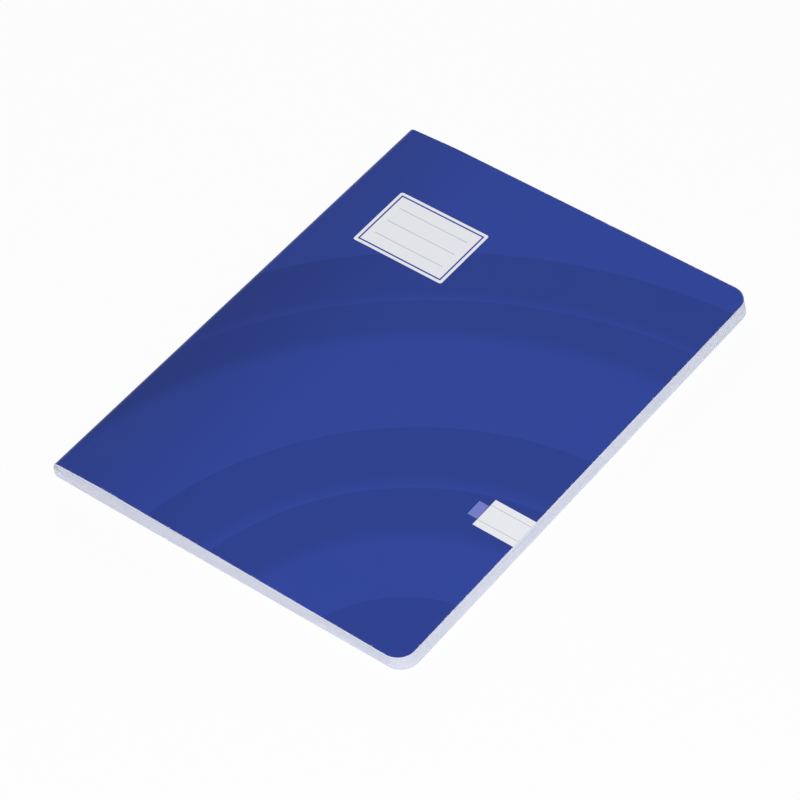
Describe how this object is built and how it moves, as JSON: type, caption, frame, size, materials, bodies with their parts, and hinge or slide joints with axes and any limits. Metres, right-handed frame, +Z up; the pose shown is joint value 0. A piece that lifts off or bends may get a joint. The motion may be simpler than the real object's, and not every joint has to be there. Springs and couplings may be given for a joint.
{
  "type": "stapled exercise book",
  "caption": "Closed saddle-stitched exercise book: nested ruled leaves in a blue card cover with rounded fore-edge corners, held by wire staples that the cover and leaves turn about.",
  "frame": {"origin": "centre of the box of the closed book, at the underside of the back cover", "axes": "+X from the spine to the fore edge, +Y from the tail to the head, +Z up through the front cover"},
  "size_m": [0.1704, 0.22, 0.0091],
  "materials": {
    "cover_card": "satin laminated",
    "paper": "matte",
    "staple_wire": "bright drawn"
  },
  "bodies": {
    "back_cover": {"back_cover": "cover_card"},
    "leaf_48": {"leaf_48": "paper"},
    "leaf_47": {"leaf_47": "paper"},
    "leaf_46": {"leaf_46": "paper"},
    "leaf_45": {"leaf_45": "paper"},
    "leaf_44": {"leaf_44": "paper"},
    "leaf_43": {"leaf_43": "paper"},
    "leaf_42": {"leaf_42": "paper"},
    "leaf_41": {"leaf_41": "paper"},
    "leaf_40": {"leaf_40": "paper"},
    "leaf_39": {"leaf_39": "paper"},
    "leaf_38": {"leaf_38": "paper"},
    "leaf_37": {"leaf_37": "paper"},
    "leaf_36": {"leaf_36": "paper"},
    "leaf_35": {"leaf_35": "paper"},
    "leaf_34": {"leaf_34": "paper"},
    "leaf_33": {"leaf_33": "paper"},
    "leaf_32": {"leaf_32": "paper"},
    "leaf_31": {"leaf_31": "paper"},
    "leaf_30": {"leaf_30": "paper"},
    "leaf_29": {"leaf_29": "paper"},
    "leaf_28": {"leaf_28": "paper"},
    "leaf_27": {"leaf_27": "paper"},
    "leaf_26": {"leaf_26": "paper"},
    "leaf_25": {"leaf_25": "paper", "staple_head": "staple_wire", "staple_tail": "staple_wire"},
    "leaf_24": {"leaf_24": "paper"},
    "leaf_23": {"leaf_23": "paper"},
    "leaf_22": {"leaf_22": "paper"},
    "leaf_21": {"leaf_21": "paper"},
    "leaf_20": {"leaf_20": "paper"},
    "leaf_19": {"leaf_19": "paper"},
    "leaf_18": {"leaf_18": "paper"},
    "leaf_17": {"leaf_17": "paper"},
    "leaf_16": {"leaf_16": "paper"},
    "leaf_15": {"leaf_15": "paper"},
    "leaf_14": {"leaf_14": "paper"},
    "leaf_13": {"leaf_13": "paper"},
    "leaf_12": {"leaf_12": "paper"},
    "leaf_11": {"leaf_11": "paper"},
    "leaf_10": {"leaf_10": "paper"},
    "leaf_09": {"leaf_09": "paper"},
    "leaf_08": {"leaf_08": "paper"},
    "leaf_07": {"leaf_07": "paper"},
    "leaf_06": {"leaf_06": "paper"},
    "leaf_05": {"leaf_05": "paper"},
    "leaf_04": {"leaf_04": "paper"},
    "leaf_03": {"leaf_03": "paper"},
    "leaf_02": {"leaf_02": "paper"},
    "leaf_01": {"leaf_01": "paper"},
    "front_cover": {"front_cover": "cover_card"}
  },
  "joints": [
    {"name": "front_cover_hinge", "type": "hinge", "parent": "leaf_01", "child": "front_cover", "pos_m": [-0.08494, 0, 0.00432], "axis": [0, -1, 0], "range_deg": [0, 180]},
    {"name": "leaf_01_turn", "type": "hinge", "parent": "leaf_02", "child": "leaf_01", "pos_m": [-0.08494, 0, 0.00432], "axis": [0, -1, 0], "range_deg": [0, 180]},
    {"name": "leaf_02_turn", "type": "hinge", "parent": "leaf_03", "child": "leaf_02", "pos_m": [-0.08494, 0, 0.00432], "axis": [0, -1, 0], "range_deg": [0, 180]},
    {"name": "leaf_03_turn", "type": "hinge", "parent": "leaf_04", "child": "leaf_03", "pos_m": [-0.08494, 0, 0.00432], "axis": [0, -1, 0], "range_deg": [0, 180]},
    {"name": "leaf_04_turn", "type": "hinge", "parent": "leaf_05", "child": "leaf_04", "pos_m": [-0.08494, 0, 0.00432], "axis": [0, -1, 0], "range_deg": [0, 180]},
    {"name": "leaf_05_turn", "type": "hinge", "parent": "leaf_06", "child": "leaf_05", "pos_m": [-0.08494, 0, 0.00432], "axis": [0, -1, 0], "range_deg": [0, 180]},
    {"name": "leaf_06_turn", "type": "hinge", "parent": "leaf_07", "child": "leaf_06", "pos_m": [-0.08494, 0, 0.00432], "axis": [0, -1, 0], "range_deg": [0, 180]},
    {"name": "leaf_07_turn", "type": "hinge", "parent": "leaf_08", "child": "leaf_07", "pos_m": [-0.08494, 0, 0.00432], "axis": [0, -1, 0], "range_deg": [0, 180]},
    {"name": "leaf_08_turn", "type": "hinge", "parent": "leaf_09", "child": "leaf_08", "pos_m": [-0.08494, 0, 0.00432], "axis": [0, -1, 0], "range_deg": [0, 180]},
    {"name": "leaf_09_turn", "type": "hinge", "parent": "leaf_10", "child": "leaf_09", "pos_m": [-0.08494, 0, 0.00432], "axis": [0, -1, 0], "range_deg": [0, 180]},
    {"name": "leaf_10_turn", "type": "hinge", "parent": "leaf_11", "child": "leaf_10", "pos_m": [-0.08494, 0, 0.00432], "axis": [0, -1, 0], "range_deg": [0, 180]},
    {"name": "leaf_11_turn", "type": "hinge", "parent": "leaf_12", "child": "leaf_11", "pos_m": [-0.08494, 0, 0.00432], "axis": [0, -1, 0], "range_deg": [0, 180]},
    {"name": "leaf_12_turn", "type": "hinge", "parent": "leaf_13", "child": "leaf_12", "pos_m": [-0.08494, 0, 0.00432], "axis": [0, -1, 0], "range_deg": [0, 180]},
    {"name": "leaf_13_turn", "type": "hinge", "parent": "leaf_14", "child": "leaf_13", "pos_m": [-0.08494, 0, 0.00432], "axis": [0, -1, 0], "range_deg": [0, 180]},
    {"name": "leaf_14_turn", "type": "hinge", "parent": "leaf_15", "child": "leaf_14", "pos_m": [-0.08494, 0, 0.00432], "axis": [0, -1, 0], "range_deg": [0, 180]},
    {"name": "leaf_15_turn", "type": "hinge", "parent": "leaf_16", "child": "leaf_15", "pos_m": [-0.08494, 0, 0.00432], "axis": [0, -1, 0], "range_deg": [0, 180]},
    {"name": "leaf_16_turn", "type": "hinge", "parent": "leaf_17", "child": "leaf_16", "pos_m": [-0.08494, 0, 0.00432], "axis": [0, -1, 0], "range_deg": [0, 180]},
    {"name": "leaf_17_turn", "type": "hinge", "parent": "leaf_18", "child": "leaf_17", "pos_m": [-0.08494, 0, 0.00432], "axis": [0, -1, 0], "range_deg": [0, 180]},
    {"name": "leaf_18_turn", "type": "hinge", "parent": "leaf_19", "child": "leaf_18", "pos_m": [-0.08494, 0, 0.00432], "axis": [0, -1, 0], "range_deg": [0, 180]},
    {"name": "leaf_19_turn", "type": "hinge", "parent": "leaf_20", "child": "leaf_19", "pos_m": [-0.08494, 0, 0.00432], "axis": [0, -1, 0], "range_deg": [0, 180]},
    {"name": "leaf_20_turn", "type": "hinge", "parent": "leaf_21", "child": "leaf_20", "pos_m": [-0.08494, 0, 0.00432], "axis": [0, -1, 0], "range_deg": [0, 180]},
    {"name": "leaf_21_turn", "type": "hinge", "parent": "leaf_22", "child": "leaf_21", "pos_m": [-0.08494, 0, 0.00432], "axis": [0, -1, 0], "range_deg": [0, 180]},
    {"name": "leaf_22_turn", "type": "hinge", "parent": "leaf_23", "child": "leaf_22", "pos_m": [-0.08494, 0, 0.00432], "axis": [0, -1, 0], "range_deg": [0, 180]},
    {"name": "leaf_23_turn", "type": "hinge", "parent": "leaf_24", "child": "leaf_23", "pos_m": [-0.08494, 0, 0.00432], "axis": [0, -1, 0], "range_deg": [0, 180]},
    {"name": "centre_spread_hinge", "type": "hinge", "parent": "leaf_25", "child": "leaf_24", "pos_m": [-0.08494, 0, 0.00432], "axis": [0, -1, 0], "range_deg": [0, 180]},
    {"name": "leaf_25_turn", "type": "hinge", "parent": "leaf_26", "child": "leaf_25", "pos_m": [-0.08494, 0, 0.00432], "axis": [0, -1, 0], "range_deg": [0, 180]},
    {"name": "leaf_26_turn", "type": "hinge", "parent": "leaf_27", "child": "leaf_26", "pos_m": [-0.08494, 0, 0.00432], "axis": [0, -1, 0], "range_deg": [0, 180]},
    {"name": "leaf_27_turn", "type": "hinge", "parent": "leaf_28", "child": "leaf_27", "pos_m": [-0.08494, 0, 0.00432], "axis": [0, -1, 0], "range_deg": [0, 180]},
    {"name": "leaf_28_turn", "type": "hinge", "parent": "leaf_29", "child": "leaf_28", "pos_m": [-0.08494, 0, 0.00432], "axis": [0, -1, 0], "range_deg": [0, 180]},
    {"name": "leaf_29_turn", "type": "hinge", "parent": "leaf_30", "child": "leaf_29", "pos_m": [-0.08494, 0, 0.00432], "axis": [0, -1, 0], "range_deg": [0, 180]},
    {"name": "leaf_30_turn", "type": "hinge", "parent": "leaf_31", "child": "leaf_30", "pos_m": [-0.08494, 0, 0.00432], "axis": [0, -1, 0], "range_deg": [0, 180]},
    {"name": "leaf_31_turn", "type": "hinge", "parent": "leaf_32", "child": "leaf_31", "pos_m": [-0.08494, 0, 0.00432], "axis": [0, -1, 0], "range_deg": [0, 180]},
    {"name": "leaf_32_turn", "type": "hinge", "parent": "leaf_33", "child": "leaf_32", "pos_m": [-0.08494, 0, 0.00432], "axis": [0, -1, 0], "range_deg": [0, 180]},
    {"name": "leaf_33_turn", "type": "hinge", "parent": "leaf_34", "child": "leaf_33", "pos_m": [-0.08494, 0, 0.00432], "axis": [0, -1, 0], "range_deg": [0, 180]},
    {"name": "leaf_34_turn", "type": "hinge", "parent": "leaf_35", "child": "leaf_34", "pos_m": [-0.08494, 0, 0.00432], "axis": [0, -1, 0], "range_deg": [0, 180]},
    {"name": "leaf_35_turn", "type": "hinge", "parent": "leaf_36", "child": "leaf_35", "pos_m": [-0.08494, 0, 0.00432], "axis": [0, -1, 0], "range_deg": [0, 180]},
    {"name": "leaf_36_turn", "type": "hinge", "parent": "leaf_37", "child": "leaf_36", "pos_m": [-0.08494, 0, 0.00432], "axis": [0, -1, 0], "range_deg": [0, 180]},
    {"name": "leaf_37_turn", "type": "hinge", "parent": "leaf_38", "child": "leaf_37", "pos_m": [-0.08494, 0, 0.00432], "axis": [0, -1, 0], "range_deg": [0, 180]},
    {"name": "leaf_38_turn", "type": "hinge", "parent": "leaf_39", "child": "leaf_38", "pos_m": [-0.08494, 0, 0.00432], "axis": [0, -1, 0], "range_deg": [0, 180]},
    {"name": "leaf_39_turn", "type": "hinge", "parent": "leaf_40", "child": "leaf_39", "pos_m": [-0.08494, 0, 0.00432], "axis": [0, -1, 0], "range_deg": [0, 180]},
    {"name": "leaf_40_turn", "type": "hinge", "parent": "leaf_41", "child": "leaf_40", "pos_m": [-0.08494, 0, 0.00432], "axis": [0, -1, 0], "range_deg": [0, 180]},
    {"name": "leaf_41_turn", "type": "hinge", "parent": "leaf_42", "child": "leaf_41", "pos_m": [-0.08494, 0, 0.00432], "axis": [0, -1, 0], "range_deg": [0, 180]},
    {"name": "leaf_42_turn", "type": "hinge", "parent": "leaf_43", "child": "leaf_42", "pos_m": [-0.08494, 0, 0.00432], "axis": [0, -1, 0], "range_deg": [0, 180]},
    {"name": "leaf_43_turn", "type": "hinge", "parent": "leaf_44", "child": "leaf_43", "pos_m": [-0.08494, 0, 0.00432], "axis": [0, -1, 0], "range_deg": [0, 180]},
    {"name": "leaf_44_turn", "type": "hinge", "parent": "leaf_45", "child": "leaf_44", "pos_m": [-0.08494, 0, 0.00432], "axis": [0, -1, 0], "range_deg": [0, 180]},
    {"name": "leaf_45_turn", "type": "hinge", "parent": "leaf_46", "child": "leaf_45", "pos_m": [-0.08494, 0, 0.00432], "axis": [0, -1, 0], "range_deg": [0, 180]},
    {"name": "leaf_46_turn", "type": "hinge", "parent": "leaf_47", "child": "leaf_46", "pos_m": [-0.08494, 0, 0.00432], "axis": [0, -1, 0], "range_deg": [0, 180]},
    {"name": "leaf_47_turn", "type": "hinge", "parent": "leaf_48", "child": "leaf_47", "pos_m": [-0.08494, 0, 0.00432], "axis": [0, -1, 0], "range_deg": [0, 180]},
    {"name": "leaf_48_turn", "type": "hinge", "parent": "back_cover", "child": "leaf_48", "pos_m": [-0.08494, 0, 0.00432], "axis": [0, -1, 0], "range_deg": [0, 180]}
  ]
}
